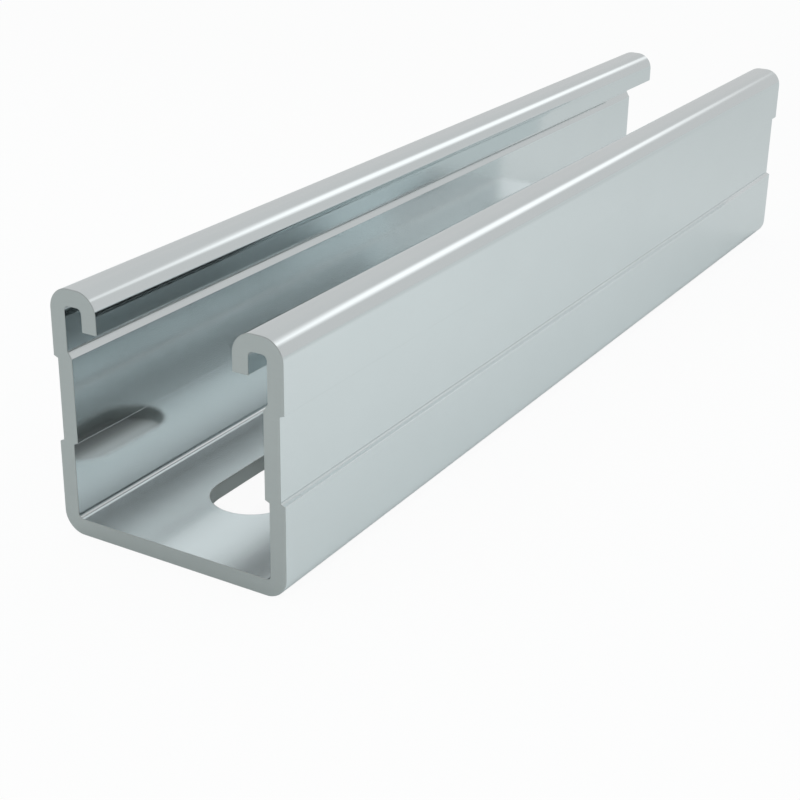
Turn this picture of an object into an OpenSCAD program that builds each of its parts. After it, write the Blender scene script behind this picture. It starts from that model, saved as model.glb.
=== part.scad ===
// Perforated channel: one strip of sheet steel, rolled into a channel with in-turned lips.
// A shallow band is pressed into each side wall, and long slots run in a row along the web.
// The channel lies along Y on its web, with its mouth facing up.
// The origin is on the underside of the web, in the middle of the length and the width.

/* [Channel] */
// Length of the piece, along Y
channel_length = 206; // [120:1:1200]
// Width over the two side walls, along X
channel_width = 41; // [39:0.5:60]
// Height from the underside of the web to the top of the lips
channel_height = 40; // [38:0.5:62]
// Thickness of the sheet
sheet = 2.7; // [1.5:0.1:2.9]
// Inside radius of every bend
bend_inner_r = 0.8; // [0.3:0.1:1.2]

/* [Lips] */
// Width of each lip, from the outer face of its wall to the mouth
lip_width = 8.5; // [8.3:0.1:10]
// Depth of each lip, from the top of the channel to its sheared edge
lip_depth = 6.3; // [5.5:0.1:8.5]

/* [Side bands] */
// How far each band is pressed in from the face of its wall
band_jog = 0.75; // [0.3:0.05:1.2]
// Height of the foot of each band above the underside of the web
band_low = 15.1; // [8:0.1:18]
// Height of the top of each band above the underside of the web
band_high = 29; // [22:0.1:30]
// Height of each short flank: both at the foot of a band, and the outer one at its top
flank_rise = 0.3; // [0.1:0.1:0.8]
// Height of the long flank, which slopes back inside the wall above the top of a band
inner_flank_rise = 1.1; // [0.3:0.1:1.5]

/* [Slots] */
// Width of each slot, across the web
slot_width = 13.5; // [8:0.5:16]
// Length of each slot over its round ends
slot_length = 25; // [18:0.5:32]
// Distance from the middle of one slot to the middle of the next
slot_pitch = 53; // [40:1:100]
// Distance from the near end of the channel to the middle of the first slot
first_slot = 26.5; // [22:0.5:40]
// Least length of plain web that is left beyond the last slot
end_land = 8; // [5:1:20]

/* [Hidden] */
$fn = 64;
half_width = channel_width / 2;
bend_outer_r = bend_inner_r + sheet;
mouth_half = half_width - lip_width;
near_end = -channel_length / 2;
slot_room = channel_length - first_slot - slot_length / 2 - end_land;
slot_count = 1 + floor(slot_room / slot_pitch);
// How far a cutting shape reaches past the face that it cuts
overcut = 1;

// A flat run of sheet, between two opposite corners of the section
module flat_run(low, high) {
    translate(low)
        square(high - low);
}

// A quarter-round bend of the sheet about a point, on the side that the two signs give
module bend(centre, side) {
    translate(centre)
        intersection() {
            difference() {
                circle(r = bend_outer_r);
                circle(r = bend_inner_r);
            }
            translate([min(side.x, 0), min(side.y, 0)] * bend_outer_r)
                square(bend_outer_r);
        }
}

// Half of the web, as far as the bend into the side wall
module web_half() {
    flat_run([0, 0], [half_width - bend_outer_r, sheet]);
    bend([half_width - bend_outer_r, bend_outer_r], [1, -1]);
}

// One face of a side wall, as points from its foot to its top
function wall_face(x, band_end, wall_start) = [
    [x, bend_outer_r],
    [x, band_low],
    [x - band_jog, band_low + flank_rise],
    [x - band_jog, band_end],
    [x, wall_start],
    [x, channel_height - bend_outer_r],
];

// One side wall, with the band pressed in from outside
module side_wall() {
    outer_face = wall_face(half_width, band_high - flank_rise, band_high);
    inner_face = wall_face(half_width - sheet, band_high, band_high + inner_flank_rise);
    inner_face_down = [for (i = [len(inner_face) - 1 : -1 : 0]) inner_face[i]];
    polygon(concat(outer_face, inner_face_down));
}

// One lip: over the top of its wall, and down again to the sheared edge
module lip() {
    bend_height = channel_height - bend_outer_r;
    bend([half_width - bend_outer_r, bend_height], [1, 1]);
    flat_run(
        [mouth_half + bend_outer_r, channel_height - sheet],
        [half_width - bend_outer_r, channel_height]
    );
    bend([mouth_half + bend_outer_r, bend_height], [-1, 1]);
    flat_run([mouth_half, channel_height - lip_depth], [mouth_half + sheet, bend_height]);
}

// Right half of the section
module half_section() {
    web_half();
    side_wall();
    lip();
}

// Whole section, seen along the channel
module section() {
    half_section();
    mirror([1, 0])
        half_section();
}

// Outline of one slot, round at both ends
module slot_outline() {
    end_offset = (slot_length - slot_width) / 2;
    square([slot_width, 2 * end_offset], center = true);
    for (end = [-end_offset, end_offset])
        translate([0, end])
            circle(d = slot_width);
}

// The row of slots, as the punches that make it
module slot_punches() {
    for (i = [0 : slot_count - 1])
        translate([0, near_end + first_slot + i * slot_pitch, -overcut])
            linear_extrude(sheet + 2 * overcut)
                slot_outline();
}

// The whole channel, lying on its web
module channel() {
    color("silver")
        difference() {
            rotate([90, 0, 0])
                linear_extrude(channel_length, center = true)
                    section();
            slot_punches();
        }
}

channel();
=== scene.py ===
"""A length of rolled framing channel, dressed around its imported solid.

The channel is one strip of zinc-coated sheet: a slotted web, two side walls with a shallow
pressed band, and two in-turned lips. Everything is in metres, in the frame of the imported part:
the channel lies along Y on its web, its mouth faces +Z, and the near end is at -Y.
"""

from __future__ import annotations

import logging
import math
from collections.abc import Sequence
from dataclasses import dataclass, field
from enum import Enum

import bpy
from mathutils import Matrix, Vector


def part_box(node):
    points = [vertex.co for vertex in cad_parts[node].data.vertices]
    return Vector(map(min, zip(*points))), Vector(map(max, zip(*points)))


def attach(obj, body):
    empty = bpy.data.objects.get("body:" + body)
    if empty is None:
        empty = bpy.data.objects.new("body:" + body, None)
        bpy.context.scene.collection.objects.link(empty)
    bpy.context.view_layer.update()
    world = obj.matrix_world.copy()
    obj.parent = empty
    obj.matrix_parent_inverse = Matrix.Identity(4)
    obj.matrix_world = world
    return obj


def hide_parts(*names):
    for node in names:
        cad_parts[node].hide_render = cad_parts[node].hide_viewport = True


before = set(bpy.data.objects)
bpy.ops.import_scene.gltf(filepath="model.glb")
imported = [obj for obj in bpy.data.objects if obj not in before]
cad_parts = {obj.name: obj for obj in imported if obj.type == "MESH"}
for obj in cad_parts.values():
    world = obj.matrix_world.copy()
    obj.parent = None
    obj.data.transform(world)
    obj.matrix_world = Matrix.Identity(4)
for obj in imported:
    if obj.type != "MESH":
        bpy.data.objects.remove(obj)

LOG = logging.getLogger("channel_scene")
MM = 0.001
NODE = "channel"
Colour = tuple[float, float, float, float]


class FaceFinish(Enum):
    """Material slots of the channel's skin, by their index on the mesh."""

    ROLLED = 0
    SHEARED = 1


@dataclass(frozen=True)
class ChannelSizes:
    """Sizes of the section and of its slots, in metres.

    A band's two flanks outside the wall and its lower flank inside are all as short as
    flank_rise, and inner_flank_rise is the height of the long slope above the band inside.
    flank_round is the radius on the flanks' corners, edge_round that on the sheared edges of
    the lips and slots, and end_round that on the edges of the cut ends.
    """

    width: float
    height: float
    length: float
    sheet: float = 2.7 * MM
    bend_inner: float = 0.8 * MM
    lip_width: float = 8.5 * MM
    lip_depth: float = 6.3 * MM
    band_jog: float = 0.75 * MM
    band_low: float = 15.1 * MM
    band_high: float = 29.0 * MM
    flank_rise: float = 0.3 * MM
    inner_flank_rise: float = 1.2 * MM
    flank_round: float = 0.14 * MM
    slot_width: float = 13.5 * MM
    slot_length: float = 25.0 * MM
    slot_pitch: float = 53.0 * MM
    first_slot: float = 26.5 * MM
    slot_count: int = 4
    edge_round: float = 0.14 * MM
    end_round: float = 0.12 * MM

    @property
    def bend_outer(self) -> float:
        """Outside radius of every bend."""
        return self.bend_inner + self.sheet

    def slot_centres(self) -> list[float]:
        """Place of each slot's middle along Y."""
        start = self.first_slot - self.length / 2
        return [start + i * self.slot_pitch for i in range(self.slot_count)]


@dataclass(frozen=True)
class OutlinePoint:
    """One point of a flat outline, with the direction that its surface faces."""

    place: Vector
    facing: Vector
    finish: FaceFinish = FaceFinish.ROLLED

    def mirrored(self) -> OutlinePoint:
        """The same point on the other side of the section."""
        flip = Vector((-1, 1))
        return OutlinePoint(self.place * flip, self.facing * flip, self.finish)


@dataclass(frozen=True)
class Corner:
    """A corner of an outline, the radius that rounds it and the steps of its arc."""

    x: float
    z: float
    radius: float = 0.0
    steps: int = 1

    @property
    def place(self) -> Vector:
        """The sharp corner itself."""
        return Vector((self.x, self.z))


def facing_right(run: Vector) -> Vector:
    """Unit vector to the right of a direction of travel."""
    return Vector((run.y, -run.x)).normalized()


def rounded(before: Vector, corner: Corner, after: Vector, sign: float) -> list[OutlinePoint]:
    """Round one corner of an outline with an arc that meets both of its sides.

    Args:
        before: The corner before this one.
        corner: The corner to round.
        after: The corner after this one.
        sign: 1 if the open side lies to the right of the way round, -1 if to the left.

    Returns:
        The points of the arc, each with the direction that its surface faces.
    """
    run_in = (corner.place - before).normalized()
    run_out = (after - corner.place).normalized()
    turn = run_in.angle_signed(run_out)
    reach = corner.radius * math.tan(abs(turn) / 2)
    start = corner.place - run_in * reach
    to_centre = facing_right(run_in) * math.copysign(1.0, turn)
    centre = start + to_centre * corner.radius
    points = []
    for step in range(corner.steps + 1):
        swing = Matrix.Rotation(-turn * step / corner.steps, 2)
        facing = swing @ facing_right(run_in) * sign
        place = centre - swing @ to_centre * corner.radius
        points.append(OutlinePoint(place, facing))
    return points


@dataclass
class Section:
    """The channel's section, as one closed outline of points that face outwards.

    The first half of the outline is the outer side of the sheet, from the left lip's edge round
    to the right lip's edge, and the second half comes back along the inner side. The two halves
    have as many points each, so point i lies across the sheet from point count - 1 - i.
    """

    sizes: ChannelSizes
    bend_steps: int = 14
    flank_steps: int = 4
    edge_steps: int = 3
    points: list[OutlinePoint] = field(init=False)

    def __post_init__(self) -> None:
        """Work out the outline from the sizes."""
        outer = self._side(self._corners(0.0), 1.0)
        inner = self._side(self._corners(self.sizes.sheet), -1.0)
        outer += self._lip_edge(1.0)
        inner += self._lip_edge(-1.0)
        half_loop = outer + inner[::-1]
        left_loop = [p.mirrored() for p in half_loop]
        middle = len(outer)
        self.points = left_loop[middle - 1::-1] + half_loop + left_loop[:middle - 1:-1]

    @property
    def count(self) -> int:
        """Number of points in the closed outline."""
        return len(self.points)

    @property
    def stations(self) -> int:
        """Number of pairs of points that face each other across the sheet."""
        return self.count // 2

    @property
    def web_span(self) -> int:
        """Index of the last outer point before the web's flat."""
        return self.stations // 2 - 1

    def _corners(self, inset: float) -> list[Corner]:
        """Corners of the right half, from the middle of the web to the lip's edge.

        Args:
            inset: Distance of this side of the sheet from its outer side.

        Returns:
            The corners, the first and last of them without a radius.
        """
        s = self.sizes
        half = s.width / 2 - inset
        bend = s.bend_outer - inset
        mouth = s.width / 2 - s.lip_width + inset
        top = s.height - inset
        flank = (s.flank_round, self.flank_steps)
        band_end, wall_start = s.band_high - s.flank_rise, s.band_high
        if inset > 0:
            band_end, wall_start = s.band_high, s.band_high + s.inner_flank_rise
        return [
            Corner(0.0, inset),
            Corner(half, inset, bend, self.bend_steps),
            Corner(half, s.band_low, *flank),
            Corner(half - s.band_jog, s.band_low + s.flank_rise, *flank),
            Corner(half - s.band_jog, band_end, *flank),
            Corner(half, wall_start, *flank),
            Corner(half, top, bend, self.bend_steps),
            Corner(mouth, top, bend, self.bend_steps),
            Corner(mouth, s.height - s.lip_depth),
        ]

    def _side(self, corners: Sequence[Corner], sign: float) -> list[OutlinePoint]:
        """Points along one side of the sheet's right half.

        Args:
            corners: The corners of this side.
            sign: 1 for the outer side, -1 for the inner side.

        Returns:
            The points of every arc in turn.
        """
        found: list[OutlinePoint] = []
        for before, corner, after in zip(corners, corners[1:], corners[2:]):
            found += rounded(before.place, corner, after.place, sign)
        return found

    def _lip_edge(self, sign: float) -> list[OutlinePoint]:
        """Points that round one side of the right lip's sheared edge.

        Args:
            sign: 1 for the side towards the mouth, -1 for the side towards the wall.

        Returns:
            The points, from the lip's flat face down to the edge itself.
        """
        s = self.sizes
        middle = s.width / 2 - s.lip_width + s.sheet / 2
        low = s.height - s.lip_depth
        found = []
        for step in range(self.edge_steps + 1):
            angle = math.pi / 2 * step / self.edge_steps
            facing = Vector((-sign * math.cos(angle), -math.sin(angle)))
            corner = Vector((middle - sign * (s.sheet / 2 - s.edge_round), low + s.edge_round))
            finish = FaceFinish.SHEARED if step else FaceFinish.ROLLED
            found.append(OutlinePoint(corner + facing * s.edge_round, facing, finish))
        return found


@dataclass
class Skin:
    """A mesh in the making: points with their own normals, and faces between them."""

    places: list[Vector] = field(default_factory=list)
    facings: list[Vector] = field(default_factory=list)
    faces: list[tuple[int, ...]] = field(default_factory=list)
    finishes: list[int] = field(default_factory=list)

    def point(self, place: Vector, facing: Vector) -> int:
        """Add a point.

        Args:
            place: Where the point lies.
            facing: Unit vector in the direction that the surface faces there.

        Returns:
            The point's index.
        """
        self.places.append(place)
        self.facings.append(facing)
        return len(self.places) - 1

    def face(self, finish: FaceFinish, *corners: int) -> None:
        """Add one face, turned so that it faces the way its corners do.

        Args:
            finish: Finish of the face.
            corners: Indices of the points round the face, in either direction.
        """
        a, b, c = (self.places[i] for i in corners[:3])
        across = (b - a).cross(c - b)
        wanted = sum((self.facings[i] for i in corners), Vector())
        order = corners if across.dot(wanted) > 0 else corners[::-1]
        self.faces.append(order)
        self.finishes.append(finish.value)

    def strip(self, finish: FaceFinish, one: Sequence[int], other: Sequence[int]) -> None:
        """Join two rows of as many points with a strip of faces."""
        for a, b, c, d in zip(one, one[1:], other[1:], other):
            self.face(finish, a, b, c, d)

    def build(self, name: str, materials: Sequence[bpy.types.Material]) -> bpy.types.Object:
        """Turn the points and faces into an object.

        Args:
            name: Name of the piece.
            materials: Materials in the order of FaceFinish.

        Returns:
            The new object, in the scene's collection.
        """
        mesh = bpy.data.meshes.new(name)
        mesh.from_pydata(self.places, [], self.faces)
        for material in materials:
            mesh.materials.append(material)
        mesh.polygons.foreach_set("material_index", self.finishes)
        mesh.shade_smooth()
        mesh.normals_split_custom_set_from_vertices(self.facings)
        mesh.update()
        piece = bpy.data.objects.new(name, mesh)
        bpy.context.scene.collection.objects.link(piece)
        return piece


@dataclass(frozen=True)
class Ring:
    """One copy of the section's outline, at a place along the channel.

    inset is how far its points lie inside the full outline, and lean is the share of their
    normals that points along +Y.
    """

    y: float
    inset: float = 0.0
    lean: float = 0.0


@dataclass
class Slot:
    """One slot through the web, with rims that are rounded on both faces."""

    sizes: ChannelSizes
    centre: float
    arc_steps: int = 12
    side_steps: int = 3
    rim_steps: int = 3
    margin: float = 3.0 * MM

    def half_outline(self, grow: float) -> list[Vector]:
        """Points of the slot's +X half, from its near tip to its far tip.

        Args:
            grow: How far the outline lies outside the slot's wall.

        Returns:
            Points as (x, y) in the row frame.
        """
        radius = self.sizes.slot_width / 2 + grow
        offset = (self.sizes.slot_length - self.sizes.slot_width) / 2
        found = []
        for step in range(self.arc_steps + 1):
            angle = math.pi / 2 * step / self.arc_steps
            found.append(Vector((radius * math.sin(angle), -offset - radius * math.cos(angle))))
        for step in range(1, self.side_steps):
            found.append(Vector((radius, -offset + 2 * offset * step / self.side_steps)))
        found += [Vector((p.x, -p.y)) for p in found[self.arc_steps::-1]]
        return [p + Vector((0, self.centre)) for p in found]

    def rows(self) -> list[float]:
        """Places along Y of the rings that pass this slot."""
        ys = [p.y for p in self.half_outline(self.sizes.edge_round)]
        return [ys[0] - self.margin, *ys[1:-1], ys[-1] + self.margin]

    def levels(self) -> list[tuple[float, float, float]]:
        """Loops that round both rims of the slot, from the web's top face to its underside.

        Returns:
            For each loop its height, its growth beyond the slot's wall and the share of its
            normals that points up.
        """
        s = self.sizes
        top = []
        for step in range(self.rim_steps + 1):
            angle = math.pi / 2 * step / self.rim_steps
            depth = s.edge_round * (1 - math.cos(angle))
            top.append((s.sheet - depth, s.edge_round * (1 - math.sin(angle)), math.cos(angle)))
        return top + [(s.sheet - z, grow, -lean) for z, grow, lean in reversed(top)]

    def loops(self, skin: Skin) -> list[list[int]]:
        """Add the points of every loop round the slot.

        Args:
            skin: The mesh in the making.

        Returns:
            For each level the indices round the slot, the +X half first and then the -X half.
        """
        found = []
        for z, grow, lean in self.levels():
            half = self.half_outline(grow)
            around = half + [Vector((-p.x, p.y)) for p in half[-2:0:-1]]
            flat = math.sqrt(max(0.0, 1 - lean * lean))
            loop = []
            for p in around:
                loop.append(skin.point(Vector((p.x, p.y, z)), self._facing(p, flat, lean)))
            found.append(loop)
        return found

    def _facing(self, place: Vector, flat: float, lean: float) -> Vector:
        """Direction that the slot's wall or rim faces, which is in towards the slot's middle.

        Args:
            place: The point, as (x, y).
            flat: Share of the direction that lies level.
            lean: Share of the direction that points up.

        Returns:
            The direction, as a unit vector.
        """
        offset = (self.sizes.slot_length - self.sizes.slot_width) / 2
        along = place.y - self.centre
        core = max(-offset, min(offset, along))
        inward = Vector((-place.x, core - along, 0)).normalized()
        return inward * flat + Vector((0, 0, lean))


@dataclass
class Channel:
    """The whole channel: its section drawn out along Y, with slots through the web."""

    sizes: ChannelSizes
    end_steps: int = 3
    section: Section = field(init=False)
    skin: Skin = field(init=False)

    def __post_init__(self) -> None:
        """Work out the section, and start with an empty skin."""
        self.section = Section(self.sizes)
        self.skin = Skin()

    def build(self, materials: Sequence[bpy.types.Material]) -> bpy.types.Object:
        """Make the channel's mesh.

        Args:
            materials: Materials in the order of FaceFinish.

        Returns:
            The finished object.
        """
        slots = [Slot(self.sizes, y) for y in self.sizes.slot_centres()]
        ends = self._end_rings()
        rings = list(ends)
        spans = []
        for slot in slots:
            first = len(rings)
            rings += [Ring(y) for y in slot.rows()]
            spans.append((first, len(rings) - 1))
        rings += [Ring(-r.y, r.inset, -r.lean) for r in reversed(ends)]
        grid = [self._ring_points(ring) for ring in rings]
        self._sides(grid, spans)
        for slot, (first, last) in zip(slots, spans):
            self._slot_panel(slot, grid[first:last + 1])
        self._end_cap(grid[0])
        self._end_cap(grid[-1])
        return self.skin.build("channel_body", materials)

    def _end_rings(self) -> list[Ring]:
        """Rings that round the edge of the near end.

        Returns:
            The rings, from the end face inwards.
        """
        edge = self.sizes.end_round
        start = -self.sizes.length / 2
        found = []
        for step in range(self.end_steps + 1):
            angle = math.pi / 2 * step / self.end_steps
            found.append(Ring(
                start + edge * (1 - math.cos(angle)),
                edge * (1 - math.sin(angle)),
                -math.cos(angle),
            ))
        return found

    def _ring_points(self, ring: Ring) -> list[int]:
        """Add the outline's points at one ring.

        Args:
            ring: The ring.

        Returns:
            The indices of its points.
        """
        flat = math.sqrt(max(0.0, 1 - ring.lean * ring.lean))
        found = []
        for p in self.section.points:
            place = p.place - p.facing * ring.inset
            facing = Vector((p.facing.x * flat, ring.lean, p.facing.y * flat))
            found.append(self.skin.point(Vector((place.x, ring.y, place.y)), facing))
        return found

    def _sides(self, grid: Sequence[Sequence[int]], spans: Sequence[tuple[int, int]]) -> None:
        """Join each ring to the next, and leave the web open where a slot's panel goes.

        Args:
            grid: Indices of the points of every ring.
            spans: First and last ring of each slot's panel.
        """
        count = self.section.count
        web = {self.section.web_span, count - 2 - self.section.web_span}
        for k, (ring, after) in enumerate(zip(grid, grid[1:])):
            in_panel = any(first <= k < last for first, last in spans)
            in_edge = k < self.end_steps or k >= len(grid) - 1 - self.end_steps
            for i in range(count):
                if in_panel and i in web:
                    continue
                j = (i + 1) % count
                self.skin.face(self._finish(i, j, in_edge), ring[i], ring[j], after[j], after[i])

    def _finish(self, i: int, j: int, in_edge: bool) -> FaceFinish:
        """Finish of the face between two neighbouring points of the outline.

        Args:
            i: Place of the first point in the outline.
            j: Place of the next point.
            in_edge: Whether the face is part of the rounding of a cut end.

        Returns:
            The face's finish.
        """
        sheared = FaceFinish.SHEARED
        both = self.section.points[i].finish is sheared and self.section.points[j].finish is sheared
        return sheared if in_edge or both else FaceFinish.ROLLED

    def _slot_panel(self, slot: Slot, rings: Sequence[Sequence[int]]) -> None:
        """Fill the web round one slot, on both faces and through the sheet.

        Args:
            slot: The slot.
            rings: Indices of the points of the rings that pass it.
        """
        loops = slot.loops(self.skin)
        for one, other in zip(loops, loops[1:]):
            self.skin.strip(FaceFinish.SHEARED, [*one, one[0]], [*other, other[0]])
        half = len(loops[0]) // 2
        left = self.section.web_span
        right = left + 1
        count = self.section.count
        for loop, plus, minus in (
            (loops[-1], right, left),
            (loops[0], count - 1 - right, count - 1 - left),
        ):
            plus_half = loop[:half + 1]
            minus_half = [loop[0], *loop[:half - 1:-1]]
            self.skin.strip(FaceFinish.ROLLED, [r[plus] for r in rings], plus_half)
            self.skin.strip(FaceFinish.ROLLED, [r[minus] for r in rings], minus_half)
            for ring, tip in ((rings[0], loop[0]), (rings[-1], loop[half])):
                self.skin.face(FaceFinish.ROLLED, ring[plus], ring[minus], tip)

    def _end_cap(self, ring: Sequence[int]) -> None:
        """Close one end with a row of faces across the sheet.

        Args:
            ring: Indices of the points of the ring at that end.
        """
        outer = ring[:self.section.stations]
        inner = ring[:self.section.stations - 1:-1]
        self.skin.strip(FaceFinish.SHEARED, outer, inner)


class Link:
    """A socket that gives a value, on which plain arithmetic adds Math nodes."""

    def __init__(self, graph: Graph, socket: bpy.types.NodeSocket) -> None:
        """Wrap one output socket of a graph."""
        self.graph = graph
        self.socket = socket

    def _maths(self, operation: str, *values: Link | float) -> Link:
        """Add one Math node and return its result."""
        node = self.graph.node("ShaderNodeMath", {"operation": operation}, dict(enumerate(values)))
        return Link(self.graph, node.outputs[0])

    def __add__(self, other: Link | float) -> Link:
        """Sum of two values."""
        return self._maths("ADD", self, other)

    def __radd__(self, other: float) -> Link:
        """Sum of a number and this value."""
        return self._maths("ADD", other, self)

    def __sub__(self, other: Link | float) -> Link:
        """Difference of two values."""
        return self._maths("SUBTRACT", self, other)

    def __rsub__(self, other: float) -> Link:
        """A number less this value."""
        return self._maths("SUBTRACT", other, self)

    def __mul__(self, other: Link | float) -> Link:
        """Product of two values."""
        return self._maths("MULTIPLY", self, other)

    def __rmul__(self, other: float) -> Link:
        """Product of a number and this value."""
        return self._maths("MULTIPLY", other, self)

    def larger(self, other: Link | float) -> Link:
        """The larger of two values."""
        return self._maths("MAXIMUM", self, other)

    def magnitude(self) -> Link:
        """This value without its sign."""
        return self._maths("ABSOLUTE", self)

    def below(self, limit: float) -> Link:
        """1 where this value lies below a limit, and 0 elsewhere."""
        return self._maths("LESS_THAN", self, limit)

    def angle_over(self, run: Link) -> Link:
        """Angle of the slope that rises by this value over a run, in radians."""
        return self._maths("ARCTAN2", self, run)


class Graph:
    """The node tree of one material or world."""

    def __init__(self, tree: bpy.types.NodeTree) -> None:
        """Start from an empty tree."""
        tree.nodes.clear()
        self.tree = tree

    def node(
        self,
        kind: str,
        settings: dict[str, object] | None = None,
        sockets: dict[str | int, object] | None = None,
    ) -> bpy.types.Node:
        """Add one node.

        Args:
            kind: The node's type.
            settings: Properties of the node, which are set before its sockets.
            sockets: A value or a link for each input socket, by name or by index.

        Returns:
            The new node.
        """
        node = self.tree.nodes.new(kind)
        for name, value in (settings or {}).items():
            if name == "stops":
                self._set_stops(node, value)
            else:
                setattr(node, name, value)
        for key, value in (sockets or {}).items():
            if isinstance(value, Link):
                self.tree.links.new(value.socket, node.inputs[key])
            else:
                node.inputs[key].default_value = value
        return node

    def link(
        self,
        kind: str,
        settings: dict[str, object] | None = None,
        sockets: dict[str | int, object] | None = None,
        output: str | int = 0,
    ) -> Link:
        """Add one node and return one of its outputs."""
        return Link(self, self.node(kind, settings, sockets).outputs[output])

    def noise(self, place: Link, scale: float, detail: float) -> Link:
        """Even noise of 0 to 1 over a place."""
        sockets = {"Vector": place, "Scale": scale, "Detail": detail}
        return self.link("ShaderNodeTexNoise", {}, sockets)

    def drawn_out(self, place: Link, scale: tuple[float, float, float]) -> Link:
        """A place scaled along its axes, so that noise over it is drawn out along some."""
        return self.link("ShaderNodeMapping", {}, {"Vector": place, "Scale": scale})

    def metal(self, colour: Link | Colour, roughness: Link, relief: Link) -> None:
        """Make the surface a bare metal.

        Args:
            colour: Colour of the metal.
            roughness: Roughness of the metal.
            relief: Normals of its fine marks.
        """
        shader = self.link("ShaderNodeBsdfPrincipled", {}, {
            "Base Color": colour, "Metallic": 1.0, "Roughness": roughness, "Normal": relief,
        })
        self.node("ShaderNodeOutputMaterial", {}, {"Surface": shader})

    @staticmethod
    def _set_stops(node: bpy.types.Node, stops: Sequence[tuple[float, Colour]]) -> None:
        """Give a colour ramp its stops.

        Args:
            node: The colour ramp.
            stops: The place and the colour of each stop, by rising place.
        """
        elements = node.color_ramp.elements
        while len(elements) < len(stops):
            elements.new(0.5)
        for element, (place, colour) in zip(elements, stops):
            element.position = place
            element.color = colour


def grey(level: float) -> Colour:
    """A grey of one level, as a colour."""
    return (level, level, level, 1.0)


def dimmed(colour: Colour, share: float) -> Colour:
    """A colour brought down to a share of its brightness."""
    return tuple(c * share for c in colour[:3]) + (1.0,)


@dataclass(frozen=True)
class Marks:
    """Fine marks in a metal's surface, made from noise that is drawn out one way.

    stretch shrinks the noise's place along each axis, swing is how far the marks vary the
    roughness, and depth and strength are those of their relief.
    """

    stretch: tuple[float, float, float]
    scale: float
    detail: float
    swing: float
    strength: float
    depth: float = 0.02 * MM

    def pattern(self, graph: Graph, place: Link) -> Link:
        """The marks as a value of 0 to 1 over a place."""
        return graph.noise(graph.drawn_out(place, self.stretch), self.scale, self.detail)

    def relief(self, graph: Graph, pattern: Link) -> Link:
        """The normals that the marks give."""
        sockets = {"Strength": self.strength, "Distance": self.depth, "Height": pattern}
        return graph.link("ShaderNodeBump", {}, sockets)


@dataclass(frozen=True)
class RolledZinc:
    """Bright zinc over rolled sheet: smooth, with faint clouds, and streaks along the channel.

    Below the height web_top, which takes in the web, it is duller than on the walls and lips.
    """

    colour: Colour = (0.817, 0.866, 0.876, 1.0)
    roughness: float = 0.10
    web_roughness: float = 0.20
    web_top: float = 2.8 * MM
    cloud_scale: float = 55.0
    cloud_detail: float = 2.0
    cloud_shade: float = 0.96
    cloud_swing: float = 0.04
    streaks: Marks = Marks(
        stretch=(1.0, 0.012, 1.0), scale=900.0, detail=3.0, swing=0.04, strength=0.08,
    )

    def material(self) -> bpy.types.Material:
        """Build the material.

        Returns:
            The new material.
        """
        made = bpy.data.materials.new("rolled_zinc")
        made.use_nodes = True
        graph = Graph(made.node_tree)
        place = graph.link("ShaderNodeTexCoord", output="Object")
        streaks = self.streaks.pattern(graph, place)
        clouds = graph.noise(place, self.cloud_scale, self.cloud_detail)
        colour = graph.link(
            "ShaderNodeMix", {"data_type": "RGBA"},
            {0: clouds, 6: self.colour, 7: dimmed(self.colour, self.cloud_shade)},
            output=2,
        )
        height = graph.link("ShaderNodeSeparateXYZ", {}, {"Vector": place}, output="Z")
        duller = height.below(self.web_top) * (self.web_roughness - self.roughness)
        swing = (clouds - 0.5) * self.cloud_swing + (streaks - 0.5) * self.streaks.swing
        graph.metal(colour, self.roughness + duller + swing, self.streaks.relief(graph, streaks))
        return made


@dataclass(frozen=True)
class ShearedSteel:
    """Cut sheet at the ends, the lips' edges and the slots: duller, with fine tool marks."""

    colour: Colour = (0.48, 0.515, 0.51, 1.0)
    roughness: float = 0.42
    marks: Marks = Marks(
        stretch=(0.08, 1.0, 1.0), scale=2600.0, detail=2.0, swing=0.12, strength=0.15,
    )

    def material(self) -> bpy.types.Material:
        """Build the material.

        Returns:
            The new material.
        """
        made = bpy.data.materials.new("sheared_steel")
        made.use_nodes = True
        graph = Graph(made.node_tree)
        marks = self.marks.pattern(graph, graph.link("ShaderNodeTexCoord", output="Object"))
        rough = self.roughness + (marks - 0.5) * self.marks.swing
        graph.metal(self.colour, rough, self.marks.relief(graph, marks))
        return made


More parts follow.
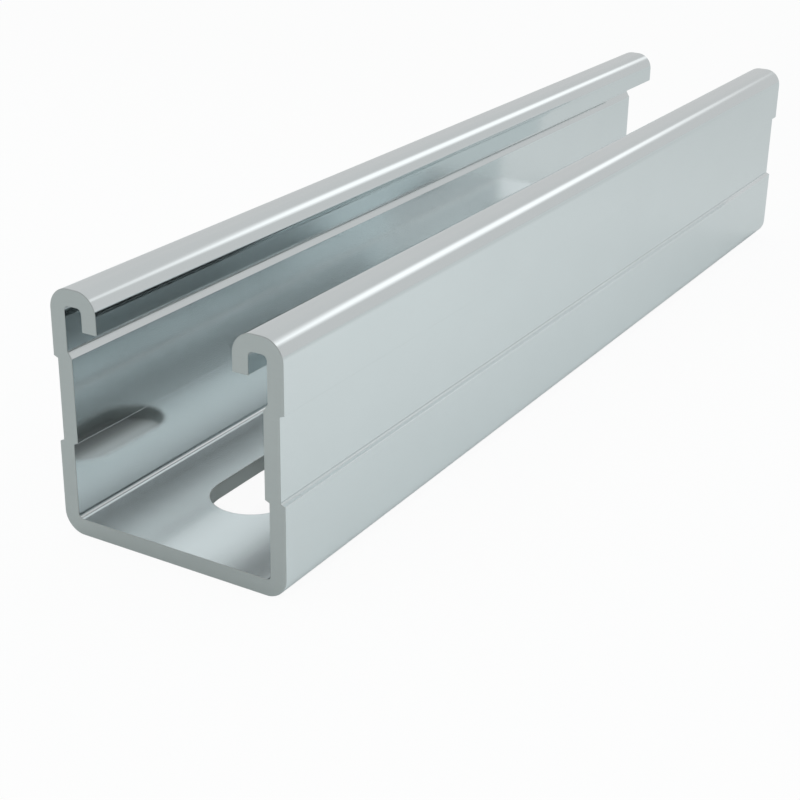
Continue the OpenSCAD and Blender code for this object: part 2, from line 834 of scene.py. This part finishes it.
@dataclass(frozen=True)
class PaleFloor:
    """A pale floor that keeps a soft shadow.

    Its own light makes it white for the camera. own_light_mirrored is the share of that light
    that metal and glass show. It is none, so the channel mirrors the paint as it is lit.
    The paint darkens a little from back_starts to back_ends along Y: painted shade, so that the
    metal mirrors dimmer surroundings towards the back. Under the channel the paint is darker
    still: a painted shadow, so that a slot stays dark in the wall that mirrors it. This painted
    shadow comes in across painted_shadow_from along X, and ends at painted_shadow_to and at
    painted_shadow_half_length either way along Y.
    """

    half_side: float = 4.0
    drop: float = 0.1 * MM
    own_light_seen: float = 0.93
    own_light_mirrored: float = 0.0
    tint: Colour = (0.955, 1.0, 1.0, 1.0)
    front_level: float = 0.9
    # Painted shade: the paint is dimmer towards the back, so the metal mirrors dimmer surroundings
    # there.
    painted_shade_back_level: float = 0.74
    back_starts: float = -0.02
    back_ends: float = 0.25
    # Painted shadow: the paint under the channel is darker, for the metal to mirror in a slot's
    # image.
    painted_shadow_level: float = 0.25
    painted_shadow_from: tuple[float, float] = (-1.5 * MM, 2.5 * MM)
    painted_shadow_to: float = 17.0 * MM
    painted_shadow_half_length: float = 100.0 * MM

    def build(self) -> bpy.types.Object:
        """Make the floor.

        Returns:
            The floor's object.
        """
        mesh = bpy.data.meshes.new("floor")
        side = self.half_side
        corners = [(-side, -side, 0), (side, -side, 0), (side, side, 0), (-side, side, 0)]
        mesh.from_pydata([Vector(c) for c in corners], [], [(0, 1, 2, 3)])
        mesh.materials.append(self._material())
        floor = bpy.data.objects.new("floor", mesh)
        floor.location.z = -self.drop
        bpy.context.scene.collection.objects.link(floor)
        return floor

    def _material(self) -> bpy.types.Material:
        """Pale paint, with painted shade and a painted shadow in it, whose own light makes up most
        of what the camera sees.

        Returns:
            The new material.
        """
        made = bpy.data.materials.new("pale_floor")
        made.use_nodes = True
        graph = Graph(made.node_tree)
        path = graph.node("ShaderNodeLightPath")
        seen = Link(graph, path.outputs["Is Camera Ray"])
        glossy = Link(graph, path.outputs["Is Glossy Ray"])
        through = Link(graph, path.outputs["Is Transmission Ray"])
        share = seen * self.own_light_seen + glossy.larger(through) * self.own_light_mirrored
        place = graph.link("ShaderNodeTexCoord", output="Object")
        parts = graph.node("ShaderNodeSeparateXYZ", {}, {"Vector": place})
        across, along = Link(graph, parts.outputs["X"]), Link(graph, parts.outputs["Y"])
        # Painted shade: the paint dims from the front level to the back level along Y.
        level = graph.link("ShaderNodeMapRange", {"interpolation_type": "SMOOTHSTEP"}, {
            "Value": along,
            "From Min": self.back_starts, "From Max": self.back_ends,
            "To Min": self.front_level, "To Max": self.painted_shade_back_level,
        })
        # Painted shadow under the channel: the paint darkens across X and along the channel's
        # length, and the metal mirrors it through the slots.
        shade = graph.link("ShaderNodeMapRange", {"interpolation_type": "SMOOTHSTEP"}, {
            "Value": across,
            "From Min": self.painted_shadow_from[0], "From Max": self.painted_shadow_from[1],
            "To Min": 0.0, "To Max": self.front_level - self.painted_shadow_level,
        })
        painted_shadow_mask = across.below(self.painted_shadow_to) * along.magnitude().below(self.painted_shadow_half_length)
        colour = graph.link(
            "ShaderNodeMix", {"data_type": "RGBA"},
            {0: level - shade * painted_shadow_mask, 6: grey(0.0), 7: self.tint},
            output=2,
        )
        paint = graph.link("ShaderNodeBsdfPrincipled", {}, {
            "Base Color": colour, "Roughness": 1.0, "Specular IOR Level": 0.0,
        })
        glow = graph.link("ShaderNodeEmission", {}, {"Color": grey(1.0), "Strength": 1.0})
        mixed = graph.link("ShaderNodeMixShader", {}, {0: share, 1: paint, 2: glow})
        graph.node("ShaderNodeOutputMaterial", {}, {"Surface": mixed})
        return made


@dataclass(frozen=True)
class Lamp:
    """One soft rectangular lamp, aimed at a point, with a brightness of 1 for white."""

    name: str
    place: tuple[float, float, float]
    aim: tuple[float, float, float]
    size: tuple[float, float]
    brightness: float

    def build(self) -> bpy.types.Object:
        """Make the lamp, whose power follows from its brightness.

        Returns:
            The lamp's object.
        """
        data = bpy.data.lights.new(self.name, "AREA")
        data.shape = "RECTANGLE"
        data.size, data.size_y = self.size
        data.energy = self.brightness * math.pi * self.size[0] * self.size[1]
        lamp = bpy.data.objects.new(self.name, data)
        lamp.location = self.place
        direction = Vector(self.aim) - Vector(self.place)
        lamp.rotation_euler = direction.to_track_quat("-Z", "Y").to_euler()
        lamp.visible_camera = False
        lamp.visible_glossy = False
        bpy.context.scene.collection.objects.link(lamp)
        return lamp


@dataclass(frozen=True)
class Glow:
    """How bright the surroundings are at one angle."""

    degrees: float
    level: float


@dataclass(frozen=True)
class Studio:
    """Pale surroundings that are white for the camera, and one soft lamp.

    Angles run round the channel's axis, from 0 at +X over 90 overhead to 180 at -X. on_paint
    is the level that lights dull surfaces. Metal that mirrors the surroundings in one step, at
    a glossy depth below one_step, shows plain_light and the soft light overhead, which reaches
    over the angles of elevation in overhead_reach. Metal that mirrors other metal shows
    side_light instead.
    """

    on_paint: float = 0.84
    side_light: tuple[Glow, ...] = (
        Glow(0, 0.50), Glow(26, 0.60), Glow(33, 1.0), Glow(60, 1.0), Glow(75, 0.70),
        Glow(125, 0.62), Glow(132, 0.70), Glow(137, 1.0), Glow(145, 0.95), Glow(149, 0.35),
        Glow(160, 0.40), Glow(180, 0.45),
    )
    plain_light: float = 0.62
    overhead: tuple[Glow, ...] = (Glow(49, 0.0), Glow(66, 0.58), Glow(78, 0.58), Glow(95, 0.0))
    overhead_reach: tuple[Glow, ...] = (Glow(20, 0.0), Glow(25, 1.0), Glow(36, 1.0), Glow(42, 0.0))
    one_step: float = 1.5
    soft_box: Lamp = Lamp(
        "soft_box", place=(0.9, -0.6, 1.6), aim=(0.0, 0.0, 0.0), size=(1.2, 1.2), brightness=0.3,
    )

    def build(self) -> None:
        """Set the world and place the lamp."""
        world = bpy.data.worlds.new("white_studio")
        world.use_nodes = True
        bpy.context.scene.world = world
        graph = Graph(world.node_tree)
        path = graph.node("ShaderNodeLightPath")
        seen = Link(graph, path.outputs["Is Camera Ray"])
        diffuse = Link(graph, path.outputs["Is Diffuse Ray"])
        outwards = graph.link("ShaderNodeTexCoord", output="Generated")
        parts = graph.node("ShaderNodeSeparateXYZ", {}, {"Vector": outwards})
        across, upwards = Link(graph, parts.outputs["X"]), Link(graph, parts.outputs["Z"])
        turn = upwards.angle_over(across) * (1 / math.pi)
        reach = [(math.sin(math.radians(g.degrees)), g.level) for g in self.overhead_reach]
        overhead = self._round_axis(graph, turn, self.overhead)
        overhead_here = overhead * self._levels(graph, upwards, reach)
        beside = self._round_axis(graph, turn, self.side_light)
        once = Link(graph, path.outputs["Glossy Depth"]).below(self.one_step)
        in_metal = once * (self.plain_light + overhead_here) + (1.0 - once) * beside
        strength = seen + (1.0 - seen) * (diffuse * self.on_paint + (1.0 - diffuse) * in_metal)
        glow = graph.link("ShaderNodeBackground", {}, {"Color": grey(1.0), "Strength": strength})
        graph.node("ShaderNodeOutputWorld", {}, {"Surface": glow})
        self.soft_box.build()

    def _round_axis(self, graph: Graph, turn: Link, glows: Sequence[Glow]) -> Link:
        """Level of a light round the axis, over an angle given as a share of half a turn."""
        return self._levels(graph, turn, [(g.degrees / 180, g.level) for g in glows])

    @staticmethod
    def _levels(graph: Graph, along: Link, levels: Sequence[tuple[float, float]]) -> Link:
        """Ramp through levels of 0 to 1, each at its own value of a link."""
        stops = [(place, grey(level)) for place, level in levels]
        return graph.link("ShaderNodeValToRGB", {"stops": stops}, {"Fac": along})


@dataclass(frozen=True)
class StudioCamera:
    """The camera of the reference view, with its angles in radians."""

    place: tuple[float, float, float] = (133.06 * MM, -264.90 * MM, 117.87 * MM)
    azimuth: float = -0.5279
    elevation: float = -0.4127
    roll: float = 0.0177
    focal_pixels: float = 1593.67
    image_pixels: int = 800
    sensor_mm: float = 36.0
    nearest_shown: float = 0.01
    farthest_shown: float = 20.0

    def build(self) -> None:
        """Make the camera and set it as the scene's own."""
        flat = math.cos(self.elevation)
        forward = Vector((
            flat * math.sin(self.azimuth),
            flat * math.cos(self.azimuth),
            math.sin(self.elevation),
        ))
        right = forward.cross(Vector((0, 0, 1))).normalized()
        up = right.cross(forward)
        tilted_right = right * math.cos(self.roll) + up * math.sin(self.roll)
        tilted_up = up * math.cos(self.roll) - right * math.sin(self.roll)
        data = bpy.data.cameras.new("studio_camera")
        data.sensor_width = self.sensor_mm
        data.lens = self.focal_pixels / self.image_pixels * self.sensor_mm
        data.clip_start, data.clip_end = self.nearest_shown, self.farthest_shown
        camera = bpy.data.objects.new("studio_camera", data)
        axes = Matrix((tilted_right, tilted_up, -forward)).transposed()
        camera.matrix_world = Matrix.LocRotScale(Vector(self.place), axes.to_quaternion(), None)
        bpy.context.scene.collection.objects.link(camera)
        bpy.context.scene.camera = camera


def sizes_from_frame() -> ChannelSizes:
    """Take the channel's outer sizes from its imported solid."""
    low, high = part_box(NODE)
    return ChannelSizes(width=high[0] - low[0], length=high[1] - low[1], height=high[2] - low[2])


def report(piece: bpy.types.Object) -> None:
    """Say in the log how many faces a piece has."""
    LOG.info("%s: %d faces", piece.name, len(piece.data.polygons))


def main() -> None:
    """Build the camera, the channel, the floor and the studio, in that order."""
    logging.basicConfig(level=logging.INFO, format="%(name)s: %(message)s")
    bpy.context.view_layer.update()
    bpy.context.scene.view_settings.view_transform = "Standard"
    StudioCamera().build()
    finishes = [RolledZinc().material(), ShearedSteel().material()]
    channel = Channel(sizes_from_frame()).build(finishes)
    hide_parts(NODE)
    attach(channel, "root")
    report(channel)
    floor = PaleFloor().build()
    report(floor)
    Studio().build()


if __name__ == "__main__":
    main()
